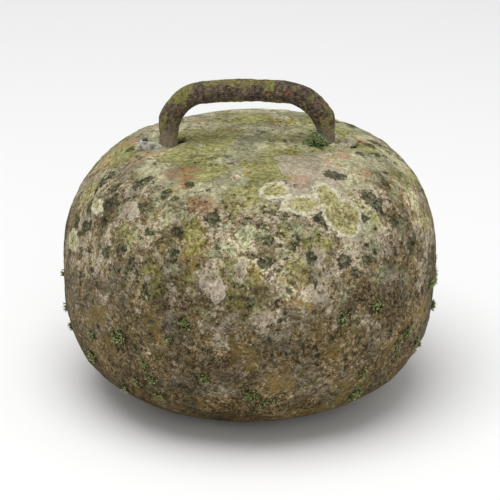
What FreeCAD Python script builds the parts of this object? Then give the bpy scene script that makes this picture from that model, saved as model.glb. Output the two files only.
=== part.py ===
"""Early curling stone: a hewn granite boulder with a forged iron handle leaded into its crown.

Frame: millimetres, +Z up, origin at the centre of the flat sole, X along the handle's grip.
The stone is dressed round. The handle is one bent bar whose two jagged tangs stand in undercut
sockets, and lead poured round each tang locks it there. The lead was poured level on a sloping
crown, so it stands proud of the stone on the outer side of each foot and sinks on the inner.
"""

import FreeCAD, Part
import math
import os

import Sketcher

# ---------------------------------------------------------------- driving sizes, mm and degrees
SIZES = [
    # the stone
    ("girth_dia", "280", "widest diameter of the stone"),
    ("stone_height", "195", "sole to the top of the crown"),
    ("girth_drop", "2.5", "widest ring, below mid height"),
    ("flank_radius", "141", "bulge of the flank, seen from the side"),
    ("shoulder_radius", "65", "rounding between flank and crown"),
    ("crown_radius", "600", "shallow dome of the crown"),
    ("heel_radius", "30", "tighter rounding between flank and belly"),
    ("heel_height", "38", "height where flank turns into heel"),
    ("sole_dia", "92", "flat running sole"),
    # the sockets cut into the crown
    ("foot_spacing", "120", "between the two tangs of the handle"),
    ("left_lead_wall", "2.3", "thinnest lead between left leg and stone"),
    ("right_lead_wall", "5", "thinnest lead between right leg and stone"),
    ("undercut", "4", "how far a socket's floor reaches behind its neck"),
    ("socket_depth", "46", "crown to socket floor"),
    ("neck_depth", "34", "straight part of a socket, below the crown"),
    ("left_socket_offset", "4.5", "left socket, outward from its tang"),
    ("right_socket_offset", "2", "right socket, outward from its tang"),
    # the handle
    ("bar_dia", "16", "bar stock of the grip and bends"),
    ("left_foot_dia", "14", "left leg where it enters the lead"),
    ("right_foot_dia", "13", "right leg where it enters the lead"),
    ("kink_depth", "6", "leg meets tang this far below the crown"),
    ("kink_swell", "1.4", "upset bar where leg meets tang, over the foot"),
    ("upset_height", "7", "the upset, from end to end"),
    ("left_leg_length", "17", "left leg, kink to bend"),
    ("right_leg_length", "17.9", "right leg, kink to bend"),
    ("left_leg_splay", "2", "outward lean of the left leg"),
    ("right_leg_splay", "12", "outward lean of the right leg"),
    ("left_bend_radius", "29", "centreline radius of the left bend"),
    ("right_bend_radius", "35", "centreline radius of the right bend"),
    ("grip_radius", "340", "slight upward camber of the grip"),
    ("tang_length", "33", "tang, kink to end"),
    ("tang_neck", "10.5", "square tang at the kink"),
    ("tang_heel", "12.5", "square tang at its end, so it cannot be drawn"),
    ("nick_floor", "12", "across the tang, between opposite nicks in its arrises"),
    ("nick_rise", "4", "height of one nick"),
    ("nick_pitch", "7", "from one nick to the next"),
    ("nick_start", "5", "tang's end to the lowest nick"),
    # the lead
    ("lip_spread", "2", "spill beyond a socket's mouth"),
    ("lip_skirt", "7", "depth of the spill's edge"),
    ("lip_bevel", "1.2", "beaten-down edge of the spill"),
    ("pour_rise", "1", "lead above the crown, on the socket's axis"),
    ("caulk_dia", "21", "lead driven down round a leg"),
    ("caulk_depth", "1.2", "depth of that ring"),
    ("hollow_dia", "15", "open shrinkage hollow beside the left leg"),
    ("hollow_offset", "6", "hollow, inward from the left tang"),
    ("hollow_depth", "7", "hollow, below the crown"),
]
NICKS = 4

# ---------------------------------------------------------------- sizes that follow from those
DERIVED = [
    ("girth_height", "=stone_height / 2 - girth_drop", "height of the widest ring above the sole"),
    ("foot_x", "=foot_spacing / 2", "tang axis from the stone's axis"),
    (
        "crown_at_foot",
        "=stone_height - crown_radius + sqrt(crown_radius ^ 2 - foot_x ^ 2)",
        "height of the crown at a tang's axis",
    ),
    ("socket_floor", "=crown_at_foot - socket_depth", "height of a socket's floor"),
    ("pour_level", "=crown_at_foot + pour_rise", "height of the lead as it was poured"),
    ("kink_up", "=crown_at_foot - kink_depth", "height where leg meets tang"),
    ("tang_end", "=kink_up - tang_length", "height of a tang's end"),
    (
        "left_mouth_dia",
        "=left_foot_dia + kink_swell + 2 * (left_socket_offset + left_lead_wall)",
        "straight neck of the left socket",
    ),
    (
        "right_mouth_dia",
        "=right_foot_dia + kink_swell + 2 * (right_socket_offset + right_lead_wall)",
        "straight neck of the right socket",
    ),
    ("left_knee_x", "=foot_x - left_leg_length * sin(left_leg_splay)", "start of the left bend"),
    ("left_knee_up", "=kink_up + left_leg_length * cos(left_leg_splay)", "start of the left bend"),
    ("right_knee_x", "=foot_x - right_leg_length * sin(right_leg_splay)", "end of the right bend"),
    ("right_knee_up", "=kink_up + right_leg_length * cos(right_leg_splay)", "end of the right bend"),
]

SIDES = {"left": -1, "right": 1}


def make_sheet(doc):
    """The spreadsheet that every feature takes its sizes from."""
    sheet = doc.addObject("Spreadsheet::Sheet", "Sizes")
    for row, (alias, value, note) in enumerate(SIZES + DERIVED, start=1):
        sheet.set(f"A{row}", note)
        sheet.set(f"B{row}", value)
        sheet.setAlias(f"B{row}", alias)
    doc.recompute()
    return sheet


# ---------------------------------------------------------------- bodies and sketches
def new_body(doc, label):
    body = doc.addObject("PartDesign::Body", label)
    body.Label = label
    return body


def attach(feature, body, role, shift=(None, None, None), turn_axis=None, turn=None):
    """Puts a feature on a body's origin plane, shifted and turned by formulas in that plane's frame."""
    plane = next(f for f in body.Origin.OriginFeatures if f.Role == role)
    feature.AttachmentSupport = [(plane, "")]
    feature.MapMode = "FlatFace"
    if turn:
        one_degree = FreeCAD.Rotation(turn_axis, 1)
        feature.AttachmentOffset = FreeCAD.Placement(FreeCAD.Vector(), one_degree)
        feature.setExpression(".AttachmentOffset.Rotation.Angle", turn)
    for axis, formula in zip("xyz", shift):
        if formula:
            feature.setExpression(f".AttachmentOffset.Base.{axis}", formula)


def new_sketch(body, name, role="XZ_Plane", **placing):
    sketch = body.newObject("Sketcher::SketchObject", name)
    attach(sketch, body, role, **placing)
    return sketch


def dimension(sketch, formula, *constraint):
    """Adds a dimension that follows a formula of the sheet's cells."""
    index = sketch.addConstraint(Sketcher.Constraint(*constraint))
    sketch.setExpression(f"Constraints[{index}]", formula)


def place(sketch, geometry, point, x_formula, y_formula):
    """Ties one point of the sketch to formulas for its two coordinates."""
    for axis, formula in (("X", x_formula), ("Y", y_formula)):
        start = float(sketch.evalExpression(formula))
        dimension(sketch, formula, f"Distance{axis}", -1, 1, geometry, point, start)


def radius(sketch, geometry, formula):
    dimension(sketch, formula, "Radius", geometry, float(sketch.evalExpression(formula)))


def line(sketch, start, end):
    first, last = FreeCAD.Vector(*start, 0), FreeCAD.Vector(*end, 0)
    return sketch.addGeometry(Part.LineSegment(first, last))


def arc(sketch, centre, start, end):
    """An arc that runs anticlockwise from start to end."""
    angles = [math.atan2(p[1] - centre[1], p[0] - centre[0]) for p in (start, end)]
    if angles[1] <= angles[0]:
        angles[1] += 2 * math.pi
    upward = FreeCAD.Vector(0, 0, 1)
    circle = Part.Circle(FreeCAD.Vector(*centre, 0), upward, math.dist(centre, start))
    return sketch.addGeometry(Part.ArcOfCircle(circle, *angles))


def polygon(sketch, corners):
    """A closed outline whose corners are pairs of formulas."""
    points = [tuple(float(sketch.evalExpression(f)) for f in corner) for corner in corners]
    sides = [line(sketch, start, end) for start, end in zip(points, points[1:] + points[:1])]
    for side, following in zip(sides, sides[1:] + sides[:1]):
        sketch.addConstraint(Sketcher.Constraint("Coincident", side, 2, following, 1))
    for side, corner in zip(sides, corners):
        place(sketch, side, 1, *corner)


def square(sketch, side):
    """A square centred on the sketch's origin."""
    near, far = f"-{side} / 2", f"{side} / 2"
    polygon(sketch, [(near, near), (far, near), (far, far), (near, far)])


def inner_touching(centre_a, radius_a, centre_b, radius_b, small_radius):
    """The two centres of a small circle that touches two larger circles from inside."""
    reach_a, reach_b = abs(radius_a - small_radius), abs(radius_b - small_radius)
    apart = math.dist(centre_a, centre_b)
    along = (reach_a**2 - reach_b**2 + apart**2) / (2 * apart)
    off = math.sqrt(reach_a**2 - along**2)
    ux = (centre_b[0] - centre_a[0]) / apart
    uy = (centre_b[1] - centre_a[1]) / apart
    foot = (centre_a[0] + along * ux, centre_a[1] + along * uy)
    return [(foot[0] - off * uy, foot[1] + off * ux), (foot[0] + off * uy, foot[1] - off * ux)]


def circle_on_sole(touch_x, heel, heel_radius):
    """Centre and radius of the circle that touches the sole's edge and holds the heel inside it."""
    rise = (heel[0] - touch_x) ** 2 + heel[1] ** 2 - heel_radius**2
    large_radius = rise / (2 * (heel[1] - heel_radius))
    return (touch_x, large_radius), large_radius


def rim_point(large_centre, large_radius, small_centre):
    """Where a circle touches a smaller one inside it."""
    share = large_radius / math.dist(large_centre, small_centre)
    return tuple(a + (b - a) * share for a, b in zip(large_centre, small_centre))


def revolve(body, sketch, name, kind="PartDesign::Revolution"):
    """A full turn of a sketch about its own upright axis."""
    feature = body.newObject(kind, name)
    feature.Profile = sketch
    feature.ReferenceAxis = (sketch, ["V_Axis"])
    feature.Angle = 360
    sketch.Visibility = False
    return feature


def turned(body, name, corners, kind="PartDesign::Revolution", **placing):
    """A polygon and its full turn, added to a body or cut from it."""
    sketch = new_sketch(body, f"{name}_profile", **placing)
    polygon(sketch, corners)
    return revolve(body, sketch, name, kind)


# ---------------------------------------------------------------- the stone
def draw_stone_profile(sketch):
    """Half outline of the stone: sole, belly, heel, flank, shoulder and crown, each arc tangent."""
    size = sketch.Document.Sizes.get
    girth = (size("girth_dia") / 2, size("girth_height"))
    flank = (girth[0] - size("flank_radius"), girth[1])
    crown = (0, size("stone_height") - size("crown_radius"))
    sole_edge = (size("sole_dia") / 2, 0)
    top = (0, size("stone_height"))

    flank_circle = (flank, size("flank_radius"))
    crown_circle = (crown, size("crown_radius"))
    heel_turn = math.asin((girth[1] - size("heel_height")) / size("flank_radius"))
    to_heel = size("flank_radius") - size("heel_radius")
    heel = (flank[0] + to_heel * math.cos(heel_turn), flank[1] - to_heel * math.sin(heel_turn))
    belly_circle = circle_on_sole(sole_edge[0], heel, size("heel_radius"))
    shoulder = max(inner_touching(*flank_circle, *crown_circle, size("shoulder_radius")))
    heel_low, heel_high = rim_point(*belly_circle, heel), rim_point(*flank_circle, heel)
    shoulder_low = rim_point(*flank_circle, shoulder)
    shoulder_high = rim_point(*crown_circle, shoulder)

    axis_line = line(sketch, top, (0, 0))
    sole_line = line(sketch, (0, 0), sole_edge)
    belly_arc = arc(sketch, belly_circle[0], sole_edge, heel_low)
    heel_arc = arc(sketch, heel, heel_low, heel_high)
    low_flank = arc(sketch, flank, heel_high, girth)
    high_flank = arc(sketch, flank, girth, shoulder_low)
    shoulder_arc = arc(sketch, shoulder, shoulder_low, shoulder_high)
    crown_arc = arc(sketch, crown, shoulder_high, top)

    constrain = sketch.addConstraint
    for first, second in [
        (axis_line, sole_line),
        (low_flank, high_flank),
        (crown_arc, axis_line),
    ]:
        constrain(Sketcher.Constraint("Coincident", first, 2, second, 1))
    for first, second in [
        (sole_line, belly_arc),
        (belly_arc, heel_arc),
        (heel_arc, low_flank),
        (high_flank, shoulder_arc),
        (shoulder_arc, crown_arc),
    ]:
        constrain(Sketcher.Constraint("Tangent", first, 2, second, 1))
    constrain(Sketcher.Constraint("Coincident", axis_line, 2, -1, 1))
    constrain(Sketcher.Constraint("PointOnObject", sole_line, 2, -1))
    constrain(Sketcher.Constraint("PointOnObject", axis_line, 1, -2))
    constrain(Sketcher.Constraint("PointOnObject", crown_arc, 3, -2))
    constrain(Sketcher.Constraint("Coincident", low_flank, 3, high_flank, 3))
    constrain(Sketcher.Constraint("Horizontal", high_flank, 3, high_flank, 1))
    place(sketch, high_flank, 1, "Sizes.girth_dia / 2", "Sizes.girth_height")
    dimension(sketch, "Sizes.stone_height", "DistanceY", -1, 1, axis_line, 1, top[1])
    dimension(sketch, "Sizes.sole_dia / 2", "DistanceX", -1, 1, sole_line, 2, sole_edge[0])
    dimension(sketch, "Sizes.heel_height", "DistanceY", -1, 1, heel_arc, 2, heel_high[1])
    for geometry, name in [
        (heel_arc, "heel"),
        (high_flank, "flank"),
        (shoulder_arc, "shoulder"),
        (crown_arc, "crown"),
    ]:
        radius(sketch, geometry, f"Sizes.{name}_radius")


def socket_axis(side):
    """Formula for the X of a socket's axis."""
    return f"{SIDES[side]} * (Sizes.foot_x + Sizes.{side}_socket_offset)"


def socket_corners(side, top):
    """Half outline of a socket, straight at the neck and undercut below it."""
    neck = f"Sizes.{side}_mouth_dia / 2"
    return [
        ("0", "Sizes.socket_floor"),
        (f"{neck} + Sizes.undercut", "Sizes.socket_floor"),
        (neck, "Sizes.crown_at_foot - Sizes.neck_depth"),
        (neck, top),
        ("0", top),
    ]


def edges_at_height(feature, height):
    """Names of a feature's edges that lie at one height."""
    names = []
    for number, edge in enumerate(feature.Shape.Edges, start=1):
        box = edge.BoundBox
        if abs(box.ZMin - height) < 0.001 and abs(box.ZMax - height) < 0.001:
            names.append(f"Edge{number}")
    return names


def make_stone(doc):
    """The dressed boulder, with its two undercut sockets."""
    body = new_body(doc, "stone_body")
    sketch = new_sketch(body, "stone_profile")
    draw_stone_profile(sketch)
    revolve(body, sketch, "boulder")
    for side in SIDES:
        turned(
            body,
            f"{side}_socket",
            socket_corners(side, "Sizes.stone_height"),
            "PartDesign::Groove",
            shift=(socket_axis(side), None, None),
        )
    return body


# ---------------------------------------------------------------- the handle
def draw_spine(sketch):
    """Centreline of bends and grip: right bend, cambered grip and left bend, each arc tangent."""
    size = sketch.Document.Sizes.get
    centres, knees = {}, {}
    for side, sign in SIDES.items():
        lean = math.radians(size(f"{side}_leg_splay"))
        bend = size(f"{side}_bend_radius")
        knee = (sign * size(f"{side}_knee_x"), size(f"{side}_knee_up"))
        knees[side] = knee
        centres[side] = (knee[0] - sign * bend * math.cos(lean), knee[1] - bend * math.sin(lean))
    grip = size("grip_radius")
    bends = (size("left_bend_radius"), size("right_bend_radius"))
    reaches = (grip - bends[0], grip - bends[1])
    middle = min(crossings(centres["left"], reaches[0], centres["right"], reaches[1]), key=lambda p: p[1])
    touch_right = rim_point(middle, grip, centres["right"])
    touch_left = rim_point(middle, grip, centres["left"])

    right_arc = arc(sketch, centres["right"], knees["right"], touch_right)
    grip_arc = arc(sketch, middle, touch_right, touch_left)
    left_arc = arc(sketch, centres["left"], touch_left, knees["left"])
    for first, second in [(right_arc, grip_arc), (grip_arc, left_arc)]:
        sketch.addConstraint(Sketcher.Constraint("Tangent", first, 2, second, 1))
    place(sketch, right_arc, 1, "Sizes.right_knee_x", "Sizes.right_knee_up")
    place(sketch, left_arc, 2, "-Sizes.left_knee_x", "Sizes.left_knee_up")
    for geometry, side, sign in [(right_arc, "right", "-"), (left_arc, "left", "+")]:
        out = SIDES[side]
        bend, lean = f"Sizes.{side}_bend_radius", f"Sizes.{side}_leg_splay"
        x = f"{out} * Sizes.{side}_knee_x {sign} {bend} * cos({lean})"
        y = f"Sizes.{side}_knee_up - {bend} * sin({lean})"
        place(sketch, geometry, 3, x, y)
    radius(sketch, grip_arc, "Sizes.grip_radius")


def crossings(centre_a, radius_a, centre_b, radius_b):
    """The two points where two circles cross."""
    return inner_touching(centre_a, radius_a, centre_b, radius_b, 0)


def add_grip(body):
    """The round bar swept along bends and grip, starting at the left knee."""
    spine = new_sketch(body, "spine")
    draw_spine(spine)
    section = new_sketch(
        body,
        "bar_section",
        role="XY_Plane",
        shift=("-Sizes.left_knee_x", None, "Sizes.left_knee_up"),
        turn_axis=FreeCAD.Vector(0, 1, 0),
        turn="Sizes.left_leg_splay",
    )
    middle = FreeCAD.Vector(0, 0, 0)
    upward = FreeCAD.Vector(0, 0, 1)
    bar_radius = body.Document.Sizes.get("bar_dia") / 2
    circle = section.addGeometry(Part.Circle(middle, upward, bar_radius))
    section.addConstraint(Sketcher.Constraint("Coincident", circle, 3, -1, 1))
    radius(section, circle, "Sizes.bar_dia / 2")
    body.Document.recompute()
    pipe = body.newObject("PartDesign::AdditivePipe", "grip")
    pipe.Profile = section
    pipe.Spine = (spine, [f"Edge{n}" for n in (3, 2, 1)])
    spine.Visibility = False
    section.Visibility = False


def add_leg(body, side):
    """One leg, tapering down to its foot and leaning outward, with an upset end in the lead."""
    sign = SIDES[side]
    foot = f"Sizes.{side}_foot_dia / 2"
    length = f"Sizes.{side}_leg_length"
    turned(
        body,
        f"{side}_leg",
        [("0", "0"), (foot, "0"), ("Sizes.bar_dia / 2", length), ("0", length)],
        shift=(f"{sign} * Sizes.foot_x", "Sizes.kink_up", None),
        turn_axis=FreeCAD.Vector(0, 0, 1),
        turn=f"{sign} * Sizes.{side}_leg_splay",
    )
    end, swell = "Sizes.upset_height / 2", "Sizes.kink_swell"
    narrow, wide = f"{foot} - {swell}", f"{foot} + {swell} / 2"
    turned(
        body,
        f"{side}_upset",
        [("0", f"-{end}"), (narrow, f"-{end}"), (wide, f"-{swell}"), (wide, swell), (narrow, end), ("0", end)],
        shift=(f"{sign} * Sizes.foot_x", "Sizes.kink_up", None),
    )


def add_tang(body, side):
    """One square tang that widens downward, its four arrises nicked into upward-facing barbs."""
    x = f"{SIDES[side]} * Sizes.foot_x"
    sections = []
    for place_name, width, height in [("neck", "tang_neck", "kink_up"), ("heel", "tang_heel", "tang_end")]:
        section = new_sketch(
            body,
            f"{side}_tang_{place_name}",
            role="XY_Plane",
            shift=(x, None, f"Sizes.{height}"),
        )
        square(section, f"Sizes.{width}")
        section.Visibility = False
        sections.append(section)
    tang = body.newObject("PartDesign::AdditiveLoft", f"{side}_tang")
    tang.Profile = sections[0]
    tang.Sections = sections[1:]
    tang.Ruled = True
    nicks = new_sketch(
        body,
        f"{side}_nick_profiles",
        shift=(x, "Sizes.tang_end", None),
        turn_axis=FreeCAD.Vector(0, 1, 0),
        turn="45",
    )
    floor, outside = "Sizes.nick_floor / 2", "Sizes.tang_heel"
    for number in range(NICKS):
        low = f"(Sizes.nick_start + {number} * Sizes.nick_pitch)"
        high = f"({low} + Sizes.nick_rise)"
        polygon(nicks, [(floor, low), (outside, low), (outside, high)])
        polygon(nicks, [(f"-{floor}", low), (f"-{outside}", high), (f"-{outside}", low)])
    cuts = body.newObject("PartDesign::Pocket", f"{side}_nicks")
    cuts.Profile = nicks
    cuts.SideType = "Symmetric"
    cuts.setExpression("Length", "2 * Sizes.tang_heel")
    nicks.Visibility = False
    others = body.newObject("PartDesign::PolarPattern", f"{side}_nicks_across")
    others.Originals = [cuts]
    others.Axis = (nicks, ["V_Axis"])
    others.Angle = 180
    others.Occurrences = 2
    body.Tip = others


def make_handle(doc):
    """The forged handle, one solid from tang to tang."""
    body = new_body(doc, "handle")
    add_grip(body)
    for side in SIDES:
        add_leg(body, side)
        add_tang(body, side)
    return body


# ---------------------------------------------------------------- the lead
def add_spill(body, side):
    """The bevelled edge of the pour, standing on the crown outside the socket's mouth."""
    axis = {"shift": (socket_axis(side), None, None)}
    lip = f"Sizes.{side}_mouth_dia / 2 + Sizes.lip_spread"
    under = "Sizes.pour_level - Sizes.lip_skirt"
    corners = [("0", under), (lip, under), (lip, "Sizes.pour_level"), ("0", "Sizes.pour_level")]
    spill = turned(body, f"{side}_spill", corners, **axis)
    body.Document.recompute()
    edge = body.newObject("PartDesign::Chamfer", f"{side}_spill_edge")
    level = body.Document.Sizes.get("pour_level")
    edge.Base = (spill, edges_at_height(spill, level))
    edge.setExpression("Size", "Sizes.lip_bevel")
    seat = new_sketch(body, f"{side}_seat_profile")
    draw_stone_profile(seat)
    revolve(body, seat, f"{side}_seat", "PartDesign::Groove")


def add_caulking(body, side):
    """The ring beside the leg where the cold lead was driven down tight."""
    floor, width = "Sizes.pour_level - Sizes.caulk_depth", "Sizes.caulk_dia / 2"
    corners = [
        ("0", floor),
        (width, floor),
        (f"{width} + Sizes.caulk_depth", "Sizes.pour_level"),
        ("0", "Sizes.pour_level"),
    ]
    shift = (f"{SIDES[side]} * Sizes.foot_x", None, None)
    turned(body, f"{side}_caulking", corners, "PartDesign::Groove", shift=shift)


def add_hollow(body):
    """The open hollow where the lead drew away from the inner side of the left leg."""
    width, floor = "Sizes.hollow_dia / 2", "Sizes.crown_at_foot - Sizes.hollow_depth"
    top = "Sizes.stone_height"
    turned(
        body,
        "left_hollow",
        [("0", floor), (width, floor), (width, top), ("0", top)],
        "PartDesign::Groove",
        shift=("Sizes.hollow_offset - Sizes.foot_x", None, None),
    )


def make_lead(doc, side, handle):
    """The lead round one tang: it fills the socket, and the tang leaves its print in it."""
    body = new_body(doc, f"lead_pour_{side}")
    add_spill(body, side)
    plug = socket_corners(side, "Sizes.pour_level")
    turned(body, f"{side}_fill", plug, shift=(socket_axis(side), None, None))
    add_caulking(body, side)
    if side == "left":
        add_hollow(body)
    lead = doc.addObject("Part::Cut", f"lead_plug_{side}")
    lead.Label = f"lead_plug_{side}"
    lead.Base = body
    lead.Tool = handle
    return lead


# ---------------------------------------------------------------- build, check and export
def check(doc, parts):
    for thing in doc.Objects:
        if {"Invalid", "Error"} & set(thing.State):
            raise RuntimeError(f"{thing.Label} failed: {thing.State}")
    for part in parts:
        if part.Shape.isNull() or not part.Shape.isValid() or not part.Shape.Solids:
            raise RuntimeError(f"{part.Label} has no valid solid")


def main():
    doc = FreeCAD.newDocument("curling_stone")
    make_sheet(doc)
    stone = make_stone(doc)
    handle = make_handle(doc)
    parts = [stone, handle] + [make_lead(doc, side, handle) for side in SIDES]
    doc.recompute()
    check(doc, parts)
    os.makedirs("parts", exist_ok=True)
    for part in parts:
        part.Shape.exportStep(f"parts/{part.Label}.step")
        solids, volume = len(part.Shape.Solids), part.Shape.Volume / 1000
        print(f"{part.Label}: {solids} solid(s), {volume:.1f} cm3")
    return doc


main()
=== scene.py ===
"""Looks of the early curling stone: a lichened granite boulder, a rusted iron handle and its lead.

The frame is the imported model, in metres, +Z up, origin at the centre of the sole. Azimuths turn from
the front (-Y) towards +X, and elevations rise from the level of the girth, both in degrees.
"""

import math

import bmesh
import bpy
import numpy as np
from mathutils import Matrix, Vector
from mathutils.bvhtree import BVHTree


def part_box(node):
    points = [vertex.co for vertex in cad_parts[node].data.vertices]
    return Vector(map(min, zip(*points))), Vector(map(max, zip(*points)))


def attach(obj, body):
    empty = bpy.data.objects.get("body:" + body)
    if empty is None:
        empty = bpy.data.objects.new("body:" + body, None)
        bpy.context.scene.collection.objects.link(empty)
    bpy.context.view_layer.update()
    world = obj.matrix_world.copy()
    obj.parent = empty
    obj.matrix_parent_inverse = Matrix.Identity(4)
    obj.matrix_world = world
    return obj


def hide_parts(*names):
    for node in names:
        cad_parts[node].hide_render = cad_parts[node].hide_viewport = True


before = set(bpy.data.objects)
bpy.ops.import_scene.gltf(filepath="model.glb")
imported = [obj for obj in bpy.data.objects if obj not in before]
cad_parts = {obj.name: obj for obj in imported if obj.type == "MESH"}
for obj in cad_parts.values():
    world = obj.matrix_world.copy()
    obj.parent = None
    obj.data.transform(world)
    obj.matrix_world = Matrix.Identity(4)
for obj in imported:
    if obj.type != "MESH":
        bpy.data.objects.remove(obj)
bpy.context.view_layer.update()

MM = 0.001
GIRTH_UP = 0.095  # height of the widest ring, where azimuths and elevations meet
SCENE = bpy.context.scene

CROWN_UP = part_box("stone_body")[1].z


def leg_middle(sign):
    """Where one leg stands across the stone: the middle of its tang, deep in the crown."""
    corners = [v.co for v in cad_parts["handle"].data.vertices]
    across = [co.x for co in corners if co.z < CROWN_UP - 12 * MM and co.x * sign > 0]
    return (min(across) + max(across)) / 2


LEG_X = {"left": leg_middle(-1), "right": leg_middle(1)}


# ---------------------------------------------------------------- camera, floor and light
def make_camera():
    """The camera stands 1.8 m off, 22 degrees up, with a long lens."""
    tilt = math.radians(22)
    distance, lift = 1.8, 0.011
    camera = bpy.data.objects.new("camera", bpy.data.cameras.new("camera"))
    camera.data.lens = 173
    camera.data.sensor_width = 36
    camera.data.clip_end = 30
    back = Vector((0, -math.cos(tilt), math.sin(tilt)))
    up = Vector((0, math.sin(tilt), math.cos(tilt)))
    camera.location = Vector((0, 0, GIRTH_UP)) + distance * back + lift * up
    camera.rotation_euler = (math.radians(90) - tilt, 0, 0)
    SCENE.collection.objects.link(camera)
    SCENE.camera = camera


def make_floor():
    """A wide pale floor that ends beyond every view."""
    mesh = bpy.data.meshes.new("floor")
    ring = [(8 * math.cos(a), 8 * math.sin(a), 0) for a in np.radians(range(0, 360, 10))]
    mesh.from_pydata(ring, [], [tuple(range(len(ring)))])
    floor = bpy.data.objects.new("floor", mesh)
    SCENE.collection.objects.link(floor)
    paint = bpy.data.materials.new("floor_paper")
    paint.use_nodes = True
    shader = paint.node_tree.nodes["Principled BSDF"]
    shader.inputs["Base Color"].default_value = (0.86, 0.86, 0.86, 1)
    shader.inputs["Roughness"].default_value = 0.9
    shader.inputs["Specular IOR Level"].default_value = 0.1
    floor.data.materials.append(paint)


def add_area(name, place, size, energy):
    """A round soft light that faces the stone."""
    light = bpy.data.objects.new(name, bpy.data.lights.new(name, "AREA"))
    light.data.shape = "DISK"
    light.data.size = size
    light.data.energy = energy
    light.location = place
    towards = Vector((0, 0, GIRTH_UP)) - Vector(place)
    light.rotation_euler = towards.to_track_quat("-Z", "Y").to_euler()
    SCENE.collection.objects.link(light)


def make_light():
    """An overcast sky: one broad light overhead, a weaker one in front and a pale surround."""
    add_area("sky", (-0.25, -0.5, 2.4), 2.2, 46)
    add_area("front_fill", (0.6, -2.6, 1.3), 1.6, 11)
    world = bpy.data.worlds.new("studio")
    SCENE.world = world
    world.use_nodes = True
    surround = world.node_tree.nodes["Background"]
    surround.inputs["Color"].default_value = (1, 1, 1, 1)
    surround.inputs["Strength"].default_value = 0.55
    SCENE.view_settings.view_transform = "Standard"


# ---------------------------------------------------------------- noise for shapes
def lattice(cell, seed):
    """A repeatable random gradient for each whole-numbered cell."""
    mixed = (cell * np.array([374761393, 668265263, 2147483647], dtype=np.int64)).sum(-1)
    mixed = (mixed + seed * 144665) & 0x7FFFFFFF
    mixed = ((mixed ^ (mixed >> 13)) * 1274126177) & 0x7FFFFFFF
    mixed = ((mixed ^ (mixed >> 16)) * 668265263) & 0x7FFFFFFF
    turn = (mixed & 0xFFFF) / 65536 * 2 * math.pi
    rise = ((mixed >> 15) & 0xFFFF) / 65536 * 2 - 1
    flat = np.sqrt(1 - np.clip(rise, -1, 1) ** 2)
    return np.stack([flat * np.cos(turn), flat * np.sin(turn), rise], -1)


def noise(points, size, seed):
    """Smooth noise of about -1 to 1, with bumps about one size across."""
    scaled = points / size
    cell = np.floor(scaled).astype(np.int64)
    part = scaled - cell
    ease = part * part * part * (part * (part * 6 - 15) + 10)
    total = np.zeros(len(points))
    for corner in np.ndindex(2, 2, 2):
        step = np.array(corner)
        weight = np.prod(np.where(step == 1, ease, 1 - ease), -1)
        total += weight * (lattice(cell + step, seed) * (part - step)).sum(-1)
    return total * 1.6


def rough(points, size, seed, layers=3):
    """Noise with finer layers added, each half as large and half as strong."""
    total = np.zeros(len(points))
    for layer in range(layers):
        total += noise(points, size / 2**layer, seed + layer) / 2**layer
    return total


def ease(value, low, high):
    """0 below low, 1 above high, and smooth between them."""
    share = np.clip((value - low) / (high - low), 0, 1)
    return share * share * (3 - 2 * share)


# ---------------------------------------------------------------- the stone's shape
def heading(azimuth, elevation):
    """The direction of an azimuth and an elevation, as a unit vector."""
    az, el = math.radians(azimuth), math.radians(elevation)
    return np.array([math.sin(az) * math.cos(el), -math.cos(az) * math.cos(el), math.sin(el)])


def cube_sphere(count):
    """Unit directions and quads of a sphere made of six square grids."""
    steps = np.tan(np.linspace(-math.pi / 4, math.pi / 4, count + 1))
    across, up = np.meshgrid(steps, steps, indexing="ij")
    out = np.ones_like(across)
    sides = []
    for axis in range(3):
        for sign in (1, -1):
            order = (out * sign, across, up * sign)
            sides.append(np.stack([order[(k - axis) % 3] for k in range(3)], -1))
    points = np.array(sides)
    points /= np.linalg.norm(points, axis=-1, keepdims=True)
    number = np.arange(points[..., 0].size).reshape(points.shape[:3])
    quads = np.stack([number[:, :-1, :-1], number[:, 1:, :-1], number[:, 1:, 1:], number[:, :-1, 1:]], -1)
    flat = points.reshape(-1, 3)
    _, first, where = np.unique(np.round(flat, 6), axis=0, return_index=True, return_inverse=True)
    return flat[first], where.reshape(-1)[quads.reshape(-1, 4)]


def outline(steps=240):
    """Distance from the girth's centre to the CAD stone, by elevation, past the sockets."""
    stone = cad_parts["stone_body"]
    corners = [v.co for v in stone.data.vertices]
    tree = BVHTree.FromPolygons(corners, [face.vertices for face in stone.data.polygons])
    middle = Vector((0, 0, GIRTH_UP))
    elevations = np.linspace(-90, 90, steps + 1)
    reaches = []
    for elevation in elevations:
        hits = []
        for azimuth in range(5, 360, 30):
            towards = Vector(heading(azimuth, elevation))
            spot = tree.ray_cast(middle + towards * 0.5, -towards)[0]
            if spot is not None:
                hits.append((spot - middle).length)
        reaches.append(max(hits))
    return elevations, np.array(reaches)


# bulges of the hewn boulder: azimuth, elevation, spread in degrees, height in mm
BULGES = [
    (-90, 0, 12, -2.0),
    (90, 0, 12, -2.5),
    (-90, 15, 10, 2.0),
    (90, -22, 12, 2.0),
    (-90, -38, 32, 2.0),
    (90, -38, 32, -2.0),
    (90, 35, 28, 0.9),
    (-90, 35, 28, -0.9),
    (150, 20, 40, 1.5),
    (-140, -10, 35, -1.5),
]


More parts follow.
